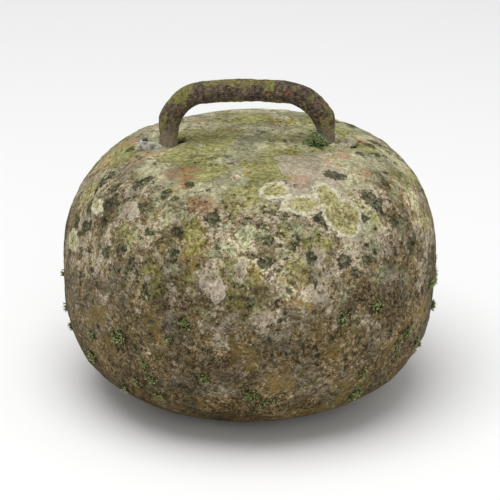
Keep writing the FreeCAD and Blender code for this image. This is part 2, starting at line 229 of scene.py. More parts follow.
def shape_stone(unit):
    """Places of the skin's vertices: the CAD outline, hewn and weathered."""
    elevation = np.degrees(np.arcsin(np.clip(unit[:, 2], -1, 1)))
    reach = np.interp(elevation, *outline())
    base = unit * reach[:, None]
    wave = 1.1 * noise(base, 0.075, 3) + 0.7 * noise(base, 0.034, 4)
    weathered = 0.45 * rough(base, 0.013, 5) + 0.22 * noise(base, 0.0045, 9)
    pits = -0.9 * ease(noise(base, 0.009, 12), 0.42, 0.8) - 0.8 * ease(noise(base, 0.016, 13), 0.55, 0.9)
    lift = wave + weathered + pits
    for azimuth, rise, spread, height in BULGES:
        apart = np.degrees(np.arccos(np.clip(unit @ heading(azimuth, rise), -1, 1)))
        lift += height * np.exp(-((apart / spread) ** 2))
    flat = ease(-unit[:, 2], 0.86, 0.93)
    lift *= 1 - flat
    return base + unit * (lift * MM)[:, None]


# ---------------------------------------------------------------- growth on the stone
# Growth is strewn over zones: how many, smallest and largest half size in mm, then the zone's
# west and east azimuth and its lowest and highest elevation in degrees.
ZONES = {
    "rosette": [(4, 8, 18, -30, 35, 30, 46), (2, 6, 12, -80, -45, 10, 40), (6, 7, 13, 100, 260, 5, 50)],
    "crust": [(3, 10, 24, 15, 65, 36, 54), (8, 4, 9, -60, 60, 12, 42), (12, 5, 14, 90, 270, 0, 50)],
    "orange": [(8, 3, 10, -75, -15, 40, 56), (4, 3, 8, 15, 80, 42, 58), (9, 3, 9, 90, 270, 30, 58)],
    "algae": [
        (5, 7, 14, -110, -75, 28, 48), (9, 6, 15, -50, 50, 10, 32), (4, 6, 14, 70, 90, 15, 40),
        (3, 8, 14, -20, 10, 40, 50), (3, 4, 7, -60, 60, -32, -10), (16, 7, 17, 95, 250, -10, 50),
        (12, 8, 16, -180, 180, 56, 86),
    ],
    "spot": [
        (26, 3, 6, -75, -10, 14, 50), (18, 3, 6, 20, 65, 16, 52), (6, 2.5, 4.5, -10, 20, 16, 34),
        (60, 2, 6, 75, 275, -5, 52), (190, 1.1, 2.9, -180, 180, -8, 50),
    ],
    "dark": [(6, 14, 32, -60, -10, -15, 36), (3, 10, 20, -5, 30, 0, 22), (8, 16, 30, 90, 270, -25, 30)],
    "light": [(5, 12, 24, 30, 78, -20, 32), (3, 10, 18, -40, 15, 12, 30), (6, 14, 28, 90, 270, -15, 35)],
    "dim": [(4, 14, 28, -45, 0, -35, -8), (4, 10, 16, -68, -38, 14, 52), (6, 14, 28, 90, 270, -30, 30)],
    "tuft": [
        (24, 2, 7, -62, 72, -26, 6), (7, 3, 8, 80, 95, -34, 6), (3, 2, 5, -92, -76, -42, 0),
        (18, 3, 8, 100, 260, -30, 20),
    ],
    "fleck": [(60, 1.5, 4.5, -180, 180, 0, 58)],
}
SEEDS = {kind: 21 + number for number, kind in enumerate(ZONES)}


OUTSIDE = -20.0  # a field's value where there is no patch near
GROWTH_DOWN_TO = -0.085  # up from the girth: lower than this, growth adds no thickness


def patch(field, points, unit, centre, half_width, half_height, seed):
    """Raises a field where points lie inside one ragged patch: mm inside it, below 0 outside."""
    facing = unit @ centre
    reach = np.linalg.norm(points[np.argmax(facing)])
    widest = 2.4 * max(half_width, half_height) + 8
    close = np.flatnonzero(facing > math.cos(min(widest * MM / reach, 1.2)))
    if not len(close):
        return
    near = points[close]
    east = np.cross([0, 0, 1], centre)
    east /= np.linalg.norm(east)
    north = np.cross(centre, east)
    offset = (near - centre * reach) / MM
    size = min(half_width, half_height)
    wobble = 1 + 0.22 * noise(near, size * 1.1 * MM, seed) + 0.13 * noise(near, size * 0.45 * MM, seed + 1)
    spread = np.hypot(offset @ east / half_width, offset @ north / half_height) * wobble
    field[close] = np.maximum(field[close], (1 - spread) * size)


def patches(points, unit, rows, seed):
    """A field for a list of patches. Where they meet, the deeper one counts."""
    field = np.full(len(points), OUTSIDE)
    for number, (azimuth, elevation, half_width, half_height) in enumerate(rows):
        patch(field, points, unit, heading(azimuth, elevation), half_width, half_height, seed + 7 * number)
    return field


def crown_heading(x, y):
    """The direction from the girth's centre to a place on the crown, given in mm."""
    towards = np.array([x * MM, y * MM, CROWN_UP - GIRTH_UP])
    return towards / np.linalg.norm(towards)


def strewn(kind):
    """Every patch of one kind: random places and sizes within its zones."""
    draw = np.random.default_rng(SEEDS[kind])
    rows = []
    for count, small, large, west, east, lowest, highest in ZONES[kind]:
        for _ in range(count):
            azimuth = draw.uniform(west, east)
            sine = draw.uniform(*np.sin(np.radians([lowest, highest])))
            wide, tall = draw.uniform(small, large, 2)
            rows.append((azimuth, math.degrees(math.asin(sine)), wide, tall))
    return rows


def growth(points, unit):
    """Every field that the stone's material and relief use, by name, in mm inside the patch."""
    return {kind: patches(points, unit, strewn(kind), 100 * seed) for kind, seed in SEEDS.items()}


def relief(points, fields):
    """How high the growth stands on the stone, in mm."""
    rosette = fields["rosette"] + 0.9 * noise(points, 0.006, 31)
    rim = ease(rosette, -0.3, 0.9) * (1 - 0.55 * ease(rosette, 2.0, 4.5))
    folds = 0.35 * noise(points, 0.0042, 32) * ease(rosette, 0, 2)
    height = 1.0 * rim + folds
    height += 0.35 * ease(fields["crust"] + 1.2 * noise(points, 0.008, 33), -0.3, 0.8)
    height += 0.3 * ease(fields["spot"], -0.3, 0.8)
    height += 0.6 * ease(fields["tuft"] + 1.5 * noise(points, 0.005, 34), 0, 1.5)
    return height


def mesh_object(name, points, faces, smooth=True):
    mesh = bpy.data.meshes.new(name)
    mesh.vertices.add(len(points))
    mesh.vertices.foreach_set("co", np.asarray(points, np.float32).ravel())
    corners = np.asarray(faces, np.int32)
    mesh.loops.add(corners.size)
    mesh.loops.foreach_set("vertex_index", corners.ravel())
    mesh.polygons.add(len(corners))
    mesh.polygons.foreach_set("loop_start", np.arange(0, corners.size, corners.shape[1], dtype=np.int32))
    mesh.update(calc_edges=True)
    mesh.validate()
    mesh.polygons.foreach_set("use_smooth", np.full(len(corners), smooth))
    thing = bpy.data.objects.new(name, mesh)
    SCENE.collection.objects.link(thing)
    return thing


def set_tint(thing, colours):
    field = thing.data.attributes.new("tint", "FLOAT_COLOR", "POINT")
    padded = np.column_stack([colours, np.ones(len(colours))])
    field.data.foreach_set("color", padded.astype(np.float32).ravel())


def set_field(thing, name, values):
    field = thing.data.attributes.new(name, "FLOAT", "POINT")
    field.data.foreach_set("value", np.asarray(values, np.float32))


def make_stone():
    """The stone's skin: one closed mesh around the girth's centre."""
    unit, quads = cube_sphere(127)
    points = shape_stone(unit)
    fields = growth(points, unit)
    points += unit * (relief(points, fields) * MM)[:, None] * (points[:, 2] > GROWTH_DOWN_TO)[:, None]
    places = points + np.array([0, 0, GIRTH_UP])
    places, fields["pit"] = open_sockets(places)
    places[:, 2] = np.maximum(places[:, 2], 0)
    stone = mesh_object("stone_skin", places, quads)
    for name, values in fields.items():
        set_field(stone, name, values)
    return stone


# hollows in the crown, as side, mm outward from the leg, mm forward of it, radius and depth in mm
HOLLOWS = [
    ("left", -7.0, -2.5, 6.5, 9.0),
    ("left", -2.5, 4.0, 5.0, 5.0),
    ("left", 13.5, 0.5, 5.0, 4.2),
    ("left", 10.5, 3.0, 4.0, 4.0),
    ("right", 11.5, 1.5, 8.5, 2.6),
    ("right", -4.5, -2.0, 4.0, 3.0),
]


def open_sockets(places):
    """Sinks the skin where the lead has drawn away from a leg, so that the gap shows dark."""
    above = places[:, 2] > GIRTH_UP
    sunk = np.zeros(len(places))
    for side, outward, forward, radius, depth in HOLLOWS:
        out = -1 if side == "left" else 1
        x = LEG_X[side] + out * outward * MM
        apart = np.hypot(places[:, 0] - x, places[:, 1] + forward * MM) / MM
        sunk = np.maximum(sunk, depth * (1 - ease(apart, radius * 0.55, radius * 1.15)) * above)
    places[:, 2] -= sunk * MM
    return places, sunk


# ---------------------------------------------------------------- materials
class Paint:
    """Builds one material. Each method adds a node and gives back its output."""

    def __init__(self, name):
        self.material = bpy.data.materials.new(name)
        self.material.use_nodes = True
        self.tree = self.material.node_tree
        self.shader = self.tree.nodes["Principled BSDF"]
        self.place = self.tree.nodes.new("ShaderNodeTexCoord").outputs["Object"]

    def feed(self, socket, value):
        if isinstance(value, bpy.types.NodeSocket):
            self.tree.links.new(value, socket)
        elif isinstance(value, tuple) and len(value) == 3 and socket.type == "RGBA":
            socket.default_value = (*value, 1)
        else:
            socket.default_value = value

    def node(self, kind, settings=None, **inputs):
        made = self.tree.nodes.new(kind)
        for name, value in (settings or {}).items():
            setattr(made, name, value)
        for name, value in inputs.items():
            self.feed(made.inputs[name.replace("_", " ")], value)
        return made

    def noise(self, size, detail=4.0, roughness=0.55, distortion=0.0, shift=0.0):
        """Noise of 0 to 1, size in mm."""
        place = self.moved(shift) if shift else self.place
        made = self.node(
            "ShaderNodeTexNoise",
            Vector=place,
            Scale=1 / (size * MM),
            Detail=detail,
            Roughness=roughness,
            Distortion=distortion,
        )
        return made.outputs["Fac"]

    def moved(self, shift):
        made = self.node("ShaderNodeVectorMath", {"operation": "ADD"})
        self.feed(made.inputs[0], self.place)
        made.inputs[1].default_value = (shift, -shift, 2 * shift)
        return made.outputs[0]

    def cells(self, size, output="Distance"):
        """Voronoi cells, size in mm: the distance to a cell's middle, or its random colour."""
        made = self.node("ShaderNodeTexVoronoi", Vector=self.place, Scale=1 / (size * MM))
        return made.outputs[output]

    def red(self, colour):
        made = self.node("ShaderNodeSeparateColor", Color=colour)
        return made.outputs["Red"]

    def field(self, name):
        made = self.node("ShaderNodeAttribute", {"attribute_name": name})
        return made.outputs["Fac"]

    def field_colour(self, name):
        made = self.node("ShaderNodeAttribute", {"attribute_name": name})
        return made.outputs["Color"]

    def sum(self, kind, first, second=0.0, clamp=False):
        made = self.node("ShaderNodeMath", {"operation": kind, "use_clamp": clamp})
        self.feed(made.inputs[0], first)
        self.feed(made.inputs[1], second)
        return made.outputs[0]

    def add(self, first, second):
        return self.sum("ADD", first, second)

    def times(self, first, second):
        return self.sum("MULTIPLY", first, second)

    def step(self, value, low, high, start=0.0, end=1.0):
        """Smoothly from start at low to end at high."""
        made = self.node("ShaderNodeMapRange", {"interpolation_type": "SMOOTHSTEP"}, Value=value)
        made.inputs["From Min"].default_value = low
        made.inputs["From Max"].default_value = high
        made.inputs["To Min"].default_value = start
        made.inputs["To Max"].default_value = end
        return made.outputs[0]

    def ragged(self, field, size, amount, low=-0.3, high=0.3):
        """A field's patch with a frayed edge: 0 outside and 1 inside."""
        fray = self.times(self.add(self.noise(size, 5, 0.65), -0.5), amount)
        return self.step(self.add(field, fray), low, high)

    def ramp(self, value, stops):
        made = self.node("ShaderNodeValToRGB", Fac=value)
        line = made.color_ramp
        while len(line.elements) < len(stops):
            line.elements.new(0.5)
        for element, (place, colour) in zip(line.elements, stops):
            element.position = place
            element.color = (*colour, 1)
        return made.outputs["Color"]

    def mix(self, share, first, second, blend="MIX"):
        made = self.node("ShaderNodeMix", {"data_type": "RGBA", "blend_type": blend})
        self.feed(made.inputs[0], share)
        self.feed(made.inputs[6], first)
        self.feed(made.inputs[7], second)
        return made.outputs[2]

    def upward(self):
        """The Z of the surface's normal."""
        made = self.node("ShaderNodeSeparateXYZ", Vector=self.node("ShaderNodeNewGeometry").outputs["Normal"])
        return made.outputs["Z"]

    def height(self):
        """The height above the floor, in mm."""
        made = self.node("ShaderNodeSeparateXYZ", Vector=self.place)
        return self.times(made.outputs["Z"], 1000.0)

    def finish(self, colour, roughness, bump_mm, **constants):
        self.feed(self.shader.inputs["Base Color"], colour)
        self.feed(self.shader.inputs["Roughness"], roughness)
        bump = self.node("ShaderNodeBump", Height=bump_mm, Distance=MM, Strength=1.0)
        self.feed(self.shader.inputs["Normal"], bump.outputs[0])
        for name, value in constants.items():
            self.shader.inputs[name.replace("_", " ")].default_value = value
        return self.material


def speckle(p, dark, middle, light, size=1.1, coarse=0.62, fine=0.50):
    """Crisp mineral or lichen grains in three tones."""
    grain = p.times(p.red(p.cells(size, "Color")), fine)
    clump = p.times(p.step(p.noise(size * 3.4, 5, 0.70, shift=size), 0.36, 0.64), coarse)
    return p.ramp(p.add(grain, clump), [(0.10, dark), (0.52, middle), (1.0, light)])


def rock_colour(p, fine):
    """Mineral grains under brown grime, greyer in places and ochre in others."""
    rock = speckle(p, (0.032, 0.021, 0.008), (0.185, 0.131, 0.062), (0.50, 0.405, 0.25), 1.0, 0.45)
    grey = speckle(p, (0.040, 0.032, 0.020), (0.180, 0.148, 0.092), (0.42, 0.37, 0.26), 1.3, 0.45)
    colour = p.mix(p.step(p.noise(30, 8, 0.64, shift=0.9), 0.50, 0.58), rock, grey)
    ochre = p.mix(fine, (0.105, 0.066, 0.016), (0.26, 0.185, 0.058))
    return p.mix(p.times(p.step(p.noise(26, 9, 0.68, shift=0.21), 0.55, 0.60), 0.70), colour, ochre)


def add_films(p, colour, height):
    """Pale and sage lichen films, in ragged patches that thin out downward."""
    cover = p.step(height, 45.0, 160.0, -0.120, 0.030)
    pale = speckle(p, (0.110, 0.084, 0.052), (0.330, 0.272, 0.185), (0.590, 0.515, 0.385), 1.0, 0.55)
    film = p.step(p.add(p.noise(24, 10, 0.68, shift=0.53), cover), 0.505, 0.530)
    colour = p.mix(p.times(film, 0.94), colour, pale)
    sage = speckle(p, (0.080, 0.080, 0.040), (0.240, 0.245, 0.135), (0.480, 0.485, 0.325), 1.2, 0.55)
    film = p.step(p.add(p.noise(17, 10, 0.70, shift=1.37), cover), 0.560, 0.585)
    return p.mix(p.times(film, 0.88), colour, sage)


def add_crown_crusts(p, colour, sky):
    """The crown's mosaic: cream crust, with chalkier patches on it."""
    cream = speckle(p, (0.155, 0.145, 0.080), (0.310, 0.305, 0.185), (0.470, 0.460, 0.320), 1.2, 0.40, 0.35)
    film = p.times(sky, p.step(p.noise(34, 6, 0.55, shift=0.66), 0.37, 0.385))
    colour = p.mix(p.times(film, 0.92), colour, cream)
    chalk = speckle(p, (0.205, 0.190, 0.105), (0.440, 0.415, 0.260), (0.630, 0.605, 0.430), 1.2, 0.45, 0.35)
    film = p.times(sky, p.step(p.noise(24, 6, 0.60, shift=5.66), 0.535, 0.550))
    return p.mix(p.times(film, 0.90), colour, chalk)


def add_stains(p, colour, sky):
    """Darker stained areas: in the dark zones, and scattered where the stone isn't crown."""
    blot = p.step(p.noise(13, 9, 0.70, shift=2.1), 0.47, 0.51)
    dark = p.times(p.step(p.field("dark"), -6.0, 8.0), blot)
    stain = speckle(p, (0.014, 0.010, 0.003), (0.078, 0.058, 0.024), (0.250, 0.200, 0.105))
    colour = p.mix(p.times(dark, 0.90), colour, stain)
    bare = p.times(p.step(p.noise(27, 10, 0.70, shift=7.7), 0.570, 0.595), p.step(sky, 1.0, 0.2, 0.0, 0.78))
    return p.mix(bare, colour, stain)


def add_algae(p, colour, sky, height):
    """A thin dust of algae: olive low down and a brighter yellow-green high up."""
    algae = p.times(p.step(p.field("algae"), -5.0, 3.0), p.step(p.noise(9, 9, 0.72, shift=3.3), 0.42, 0.50))
    slick = p.times(sky, p.step(p.noise(40, 4, 0.52, shift=4.9), 0.545, 0.560))
    algae = p.sum("MAXIMUM", algae, slick)
    stray = p.times(p.step(p.noise(26, 10, 0.70, shift=0.77), 0.575, 0.61), p.step(sky, 0.9, 0.3))
    algae = p.sum("MAXIMUM", algae, p.times(stray, p.step(height, 95.0, 180.0, 0.20, 0.90)))
    olive = speckle(p, (0.052, 0.040, 0.011), (0.180, 0.148, 0.044), (0.37, 0.32, 0.13), 1.0, 0.6, 0.4)
    bright = speckle(p, (0.072, 0.066, 0.014), (0.225, 0.220, 0.056), (0.42, 0.41, 0.15), 1.0, 0.6, 0.4)
    brightness = p.add(p.noise(15, 6, 0.62, shift=8.2), p.step(height, 120.0, 190.0, -0.04, 0.06))
    green = p.mix(p.step(brightness, 0.46, 0.54), olive, bright)
    return p.mix(p.times(algae, 0.70), colour, green)


def add_crusts(p, colour):
    """Pale crust with a thin light margin, and small flecks of it. Also gives where the crust lies."""
    edge = p.add(p.field("crust"), p.times(p.add(p.noise(9, 8, 0.68), -0.5), 12.0))
    crust = p.step(edge, -0.2, 0.5)
    margin = p.times(crust, p.step(edge, 1.5, 0.6))
    tint = speckle(p, (0.19, 0.155, 0.110), (0.375, 0.320, 0.235), (0.520, 0.465, 0.365), 0.9, 0.4, 0.4)
    tint = p.mix(p.times(margin, 0.40), tint, (0.60, 0.56, 0.45))
    colour = p.mix(p.times(crust, p.step(p.noise(5, 7, 0.7), 0.38, 0.45, 0.10, 0.90)), colour, tint)
    fleck = p.ragged(p.field("fleck"), 3.2, 7.0)
    return p.mix(p.times(fleck, 0.7), colour, tint), crust


def add_orange_dust(p, colour, fine):
    """Orange-pink dust in fine grains."""
    grains = p.step(p.noise(2.8, 7, 0.74, shift=4.1), 0.475, 0.520)
    orange = p.times(p.step(p.field("orange"), -5.0, 4.0), grains)
    return p.mix(p.times(orange, 0.64), colour, p.mix(fine, (0.28, 0.105, 0.048), (0.58, 0.29, 0.165)))


def add_spots(p, colour, height):
    """Dark round spots, and a fine peppering of the same. Also gives where the spots lie."""
    spot = p.ragged(p.field("spot"), 2.2, 9.0, -0.1, 0.5)
    tint = speckle(p, (0.010, 0.011, 0.005), (0.040, 0.040, 0.019), (0.165, 0.160, 0.090), 1.0)
    colour = p.mix(p.times(spot, 0.92), colour, tint)
    crowding = p.step(p.noise(40, 3, 0.5, shift=2.7), 0.40, 0.60, -0.04, 0.04)
    peppered = p.step(p.add(p.noise(5.5, 7, 0.7, shift=5.3), crowding), 0.600, 0.618)
    peppered = p.times(peppered, p.step(height, 20.0, 110.0, 0.5, 0.92))
    return p.mix(peppered, colour, tint), spot


def add_tuft_shade(p, colour):
    """Painted shade, dark under the tufts. Also gives where it lies."""
    tuft = p.ragged(p.field("tuft"), 3.0, 8.0, -0.6, 1.2)
    # Painted shade: near-black under the moss tufts.
    tint = speckle(p, (0.008, 0.008, 0.004), (0.050, 0.046, 0.017), (0.20, 0.19, 0.070), 1.1)
    return p.mix(p.times(tuft, 0.80), colour, tint), tuft


def add_specks(p, colour, sky):
    """Tiny white specks, and soot in the pores. Also gives where the pores lie."""
    dot = p.times(p.step(p.cells(9), 0.075, 0.045), p.step(p.red(p.cells(9, "Color")), 0.80, 0.82))
    colour = p.mix(p.times(dot, 0.85), colour, (0.66, 0.65, 0.58))
    pores = p.times(p.step(p.noise(1.9, 5, 0.72, shift=6.2), 0.60, 0.66), p.step(sky, 1.0, 0.4, 0.4, 1.0))
    return p.mix(p.times(pores, 0.62), colour, (0.022, 0.017, 0.009)), pores


def add_tone(p, colour, height):
    """Broad light and dark: blotchy on the flank, and lighter and more even towards the crown, where the
    lightening is partly paler growth and partly painted light from above.
    """
    tone = p.step(p.noise(30, 8, 0.66, shift=9.1), 0.40, 0.60, 0.66, 1.20)
    evenness = p.step(height, 120.0, 165.0, 0.0, 0.45)
    tone = p.add(p.times(tone, p.step(height, 120.0, 165.0, 1.0, 0.55)), evenness)
    # Lighter with height: partly the crown's paler growth, partly painted light from above.
    tone = p.times(tone, p.step(height, 100.0, 160.0, 1.06, 1.36))
    drift = p.times(p.add(p.noise(14, 8, 0.68, shift=1.9), -0.5), 26.0)
    tone = p.times(tone, p.step(p.add(p.field("light"), drift), -3.0, 7.0, 1.0, 1.38))
    tone = p.times(tone, p.step(p.add(p.field("dim"), drift), -3.0, 7.0, 1.0, 0.68))
    shade = p.node("ShaderNodeCombineColor", Red=tone, Green=tone, Blue=tone).outputs[0]
    return p.mix(1.0, colour, shade, "MULTIPLY")


def add_rosettes(p, colour):
    """A thick cream margin round a yellow-green, speckled middle. Also gives where it lies."""
    edge = p.add(p.field("rosette"), p.times(p.add(p.noise(4.2, 6, 0.68), -0.5), 7.5))
    rosette = p.step(edge, 0.0, 0.4)
    inner = p.step(p.add(edge, p.times(p.add(p.noise(3.0, 4, 0.65), -0.5), 5.0)), 2.3, 4.0)
    heart = p.step(edge, 4.0, 10.0, 0.0, 0.60)
    middle = speckle(p, (0.170, 0.125, 0.055), (0.510, 0.465, 0.190), (0.80, 0.77, 0.50), 1.0, 0.5)
    middle = p.mix(p.times(heart, p.step(p.noise(2.6, 5, 0.7), 0.46, 0.53)), middle, (0.150, 0.105, 0.050))
    rim = speckle(p, (0.42, 0.380, 0.235), (0.830, 0.780, 0.570), (0.95, 0.92, 0.76), 1.0, 0.5, 0.30)
    return p.mix(rosette, colour, p.mix(inner, rim, middle)), rosette


def add_shade_and_grime(p, colour, fine, height):
    """Painted shade in the hollows beside the legs, and darkening towards the ground that is partly grime and
    partly painted shade.
    """
    # Painted shade: near-black in the sunk hollows beside the legs.
    socket_shade = p.mix(fine, (0.006, 0.005, 0.003), (0.040, 0.036, 0.018))
    colour = p.mix(p.step(p.field("pit"), 0.8, 3.5, 0.0, 0.92), colour, socket_shade)
    # Darker and browner towards the ground: partly grime, partly painted shade near the floor.
    grime_and_shade = p.mix(p.step(height, 70.0, 8.0, 0.0, 0.9), (1.0, 1.0, 1.0), (0.74, 0.66, 0.42))
    return p.mix(1.0, colour, grime_and_shade, "MULTIPLY")


def stone_bump(p, fine, pores, rosette, crust, spot, tuft):
    """The relief that is too fine for the mesh, in mm."""
    lobes = p.step(p.noise(1.9, 4, 0.72, 0.6), 0.36, 0.62)
    bump = p.times(fine, 0.28)
    bump = p.add(bump, p.times(p.red(p.cells(1.1, "Color")), 0.14))
    bump = p.add(bump, p.times(p.noise(3.2, 6, 0.72), 1.5))
    bump = p.add(bump, p.times(pores, -0.55))
    bump = p.add(bump, p.times(rosette, p.add(p.times(lobes, 0.5), 0.35)))
    bump = p.add(bump, p.times(crust, 0.3))
    bump = p.add(bump, p.times(spot, p.times(p.noise(0.9, 2, 0.6), 0.8)))
    return p.add(bump, p.times(tuft, p.times(p.noise(1.0, 2, 0.6), 2.2)))


def paint_stone():
    """Weathered granite under lichens, algae and moss, laid on from the rock outward."""
    p = Paint("lichened_granite")
    height = p.height()
    fine = p.step(p.noise(0.85, 3, 0.7), 0.30, 0.70)
    sky = p.step(p.add(p.upward(), p.times(p.add(p.noise(20, 5, 0.6), -0.5), 0.5)), 0.78, 0.93)
    colour = rock_colour(p, fine)
    colour = add_films(p, colour, height)
    colour = add_crown_crusts(p, colour, sky)
    colour = add_stains(p, colour, sky)
    colour = add_algae(p, colour, sky, height)
    colour, crust = add_crusts(p, colour)
    colour = add_orange_dust(p, colour, fine)
    colour, spot = add_spots(p, colour, height)
    colour, tuft = add_tuft_shade(p, colour)
    colour, pores = add_specks(p, colour, sky)
    colour = add_tone(p, colour, height)
    colour, rosette = add_rosettes(p, colour)
    colour = add_shade_and_grime(p, colour, fine, height)
    bump = stone_bump(p, fine, pores, rosette, crust, spot, tuft)
    return p.finish(colour, p.step(fine, 0.2, 0.8, 0.84, 0.97), bump, Specular_IOR_Level=0.12)


def paint_iron():
    """Deeply pitted purple-brown rust, with yellow-green algae where water stands."""
    p = Paint("rusted_iron_handle")
    flake = p.noise(3.0, 7, 0.72, 0.5)
    fine = p.step(p.noise(0.8, 4, 0.7), 0.32, 0.68)
    rust = p.ramp(p.add(p.times(flake, 0.80), p.times(fine, 0.16)), [
        (0.36, (0.016, 0.011, 0.008)),
        (0.45, (0.072, 0.051, 0.034)),
        (0.53, (0.142, 0.106, 0.070)),
        (0.64, (0.285, 0.232, 0.155)),
    ])
    glow = p.step(p.noise(4.5, 6, 0.70, shift=0.63), 0.600, 0.640)
    colour = p.mix(p.times(glow, 0.80), rust, p.mix(fine, (0.16, 0.050, 0.015), (0.46, 0.155, 0.045)))
    bloom = p.add(p.noise(13, 7, 0.70, shift=0.47), p.step(p.field("damp"), 0.0, 1.0, -0.02, 0.11))
    bloom = p.times(p.step(bloom, 0.53, 0.575), p.step(p.noise(2.1, 5, 0.72), 0.38, 0.50))
    colour = p.mix(p.times(bloom, 0.80), colour, p.mix(fine, (0.105, 0.100, 0.016), (0.36, 0.34, 0.085)))
    dust = p.step(p.height(), 214.0, 196.0)
    dust = p.times(dust, p.step(p.add(p.noise(4, 6, 0.7), p.times(dust, 0.14)), 0.52, 0.58))
    colour = p.mix(p.times(dust, 0.85), colour, p.mix(fine, (0.19, 0.150, 0.095), (0.40, 0.335, 0.235)))
    bump = p.add(p.times(flake, 1.9), p.times(fine, 0.25))
    bump = p.add(bump, p.times(p.step(p.noise(2.2, 3, 0.6), 0.58, 0.70), -0.9))
    return p.finish(colour, p.step(flake, 0.3, 0.7, 0.95, 0.72), bump, Specular_IOR_Level=0.3)


def paint_lead():
    """Old lead under a white-grey bloom, with painted shade in its hollow and where it sinks below the stone.
    """
    p = Paint("weathered_lead")
    broad = p.noise(4.5, 5, 0.65)
    fine = p.noise(0.9, 4, 0.7)
    colour = p.ramp(p.add(p.times(broad, 0.65), p.times(fine, 0.35)), [
        (0.34, (0.055, 0.050, 0.038)),
        (0.45, (0.22, 0.21, 0.17)),
        (0.56, (0.47, 0.46, 0.40)),
        (0.72, (0.66, 0.65, 0.58)),
    ])
    cream = p.times(p.step(p.field("cream"), 0.2, 0.8), p.step(p.noise(2.4, 5, 0.68), 0.40, 0.50))
    crusted = p.mix(p.step(fine, 0.4, 0.6), (0.20, 0.17, 0.075), (0.50, 0.46, 0.26))
    colour = p.mix(p.times(cream, 0.8), colour, crusted)
    # Painted shade: near-black in the lead's hollow and where it sinks below the stone.
    lead_hollow_shade = p.step(p.add(p.field("lead_hollow_shade"), p.times(p.add(broad, -0.5), 1.2)), 0.35, 0.75)
    colour = p.mix(p.times(lead_hollow_shade, 0.92), colour, p.mix(fine, (0.012, 0.010, 0.006), (0.075, 0.062, 0.036)))
    bump = p.add(p.times(broad, 1.0), p.times(fine, 0.4))
    return p.finish(colour, p.step(fine, 0.3, 0.7, 0.55, 0.85), bump, Specular_IOR_Level=0.4)


def paint_moss():
    """Green shoots that darken towards their feet."""
    p = Paint("moss_cushion")
    tip = p.step(p.field("tip"), 0.1, 1.0)
    tint = p.mix(p.noise(3.0, 3, 0.6), (0.85, 1.0, 0.8), (1.25, 1.1, 0.9))
    shoot = p.mix(p.step(p.noise(1.6, 3, 0.7), 0.42, 0.58), p.field_colour("tint"), (0.42, 0.47, 0.28))
    colour = p.mix(p.step(tip, 0.0, 0.8), (0.020, 0.026, 0.012), shoot)
    colour = p.mix(1.0, colour, tint, "MULTIPLY")
    return p.finish(colour, 0.8, p.times(p.noise(0.5, 2, 0.6), 0.2), Specular_IOR_Level=0.2)


# ---------------------------------------------------------------- handle and lead
def remeshed(node, name, voxel):
    """A copy of a CAD node with small, even faces."""
    source = bmesh.new()
    source.from_mesh(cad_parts[node].data)
    bmesh.ops.remove_doubles(source, verts=source.verts, dist=0.005 * MM)
    mesh = bpy.data.meshes.new(name)
    source.to_mesh(mesh)
    source.free()
    thing = bpy.data.objects.new(name, mesh)
    SCENE.collection.objects.link(thing)
    remesh = thing.modifiers.new("even", "REMESH")
    remesh.mode = "VOXEL"
    remesh.voxel_size = voxel
    smooth = thing.modifiers.new("soft", "SMOOTH")
    smooth.factor = 0.5
    smooth.iterations = 3
    view = thing.evaluated_get(bpy.context.evaluated_depsgraph_get())
    baked = bpy.data.meshes.new_from_object(view)
    thing.modifiers.clear()
    thing.data = baked
    baked.name = name
    return thing


def read(thing):
    """The places and normals of a mesh's vertices."""
    mesh = thing.data
    places = np.zeros(len(mesh.vertices) * 3)
    mesh.vertices.foreach_get("co", places)
    normals = np.zeros(len(mesh.vertices) * 3)
    mesh.vertex_normals.foreach_get("vector", normals)
    return places.reshape(-1, 3), normals.reshape(-1, 3)


def write(thing, places):
    thing.data.vertices.foreach_set("co", np.asarray(places, np.float32).ravel())
    thing.data.polygons.foreach_set("use_smooth", np.full(len(thing.data.polygons), True))
    thing.data.update()


def dampness(places, normals):
    """Where algae keeps on the bar: the outer side of the left bend, the top and the underside."""
    left = ease(-places[:, 0], 30 * MM, 55 * MM) * ease(-normals[:, 0], -0.2, 0.7)
    top = 0.7 * ease(normals[:, 2], 0.5, 0.9) * ease(-places[:, 0], -40 * MM, 10 * MM)
    under = 0.8 * ease(-normals[:, 2], 0.45, 0.85) * ease(np.abs(places[:, 0]), 45 * MM, 20 * MM)
    right = 0.8 * ease(places[:, 0], 38 * MM, 50 * MM) * ease(normals[:, 2], -0.3, 0.5)
    return np.maximum.reduce([left, top, under, right])


def make_handle():
    """The forged bar, swollen and pitted by rust."""
    handle = remeshed("handle", "handle_forged", (0.65) * MM)
    places, normals = read(handle)
    swell = 0.25 + 0.45 * noise(places, 0.022, 41) + 0.35 * noise(places, 0.009, 42)
    flakes = 0.30 * rough(places, 0.0042, 43)
    pits = -0.7 * ease(noise(places, 0.0055, 46), 0.40, 0.85)
    pits -= 0.35 * ease(noise(places, 0.003, 47), 0.4, 0.8)
    above = ease(places[:, 2], CROWN_UP - 6 * MM, CROWN_UP)
    near_stone = ease(places[:, 2], 216 * MM, 198 * MM)
    right_foot = 0.4 + 2.8 * ease(normals[:, 0], 0.0, 0.6)
    eaten = near_stone * np.where(places[:, 0] < 0, 1.2, right_foot)
    lift = (swell + flakes + pits - eaten) * above
    write(handle, places + normals * (lift * MM)[:, None])
    set_field(handle, "damp", dampness(places, normals))
    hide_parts("handle")
    return handle


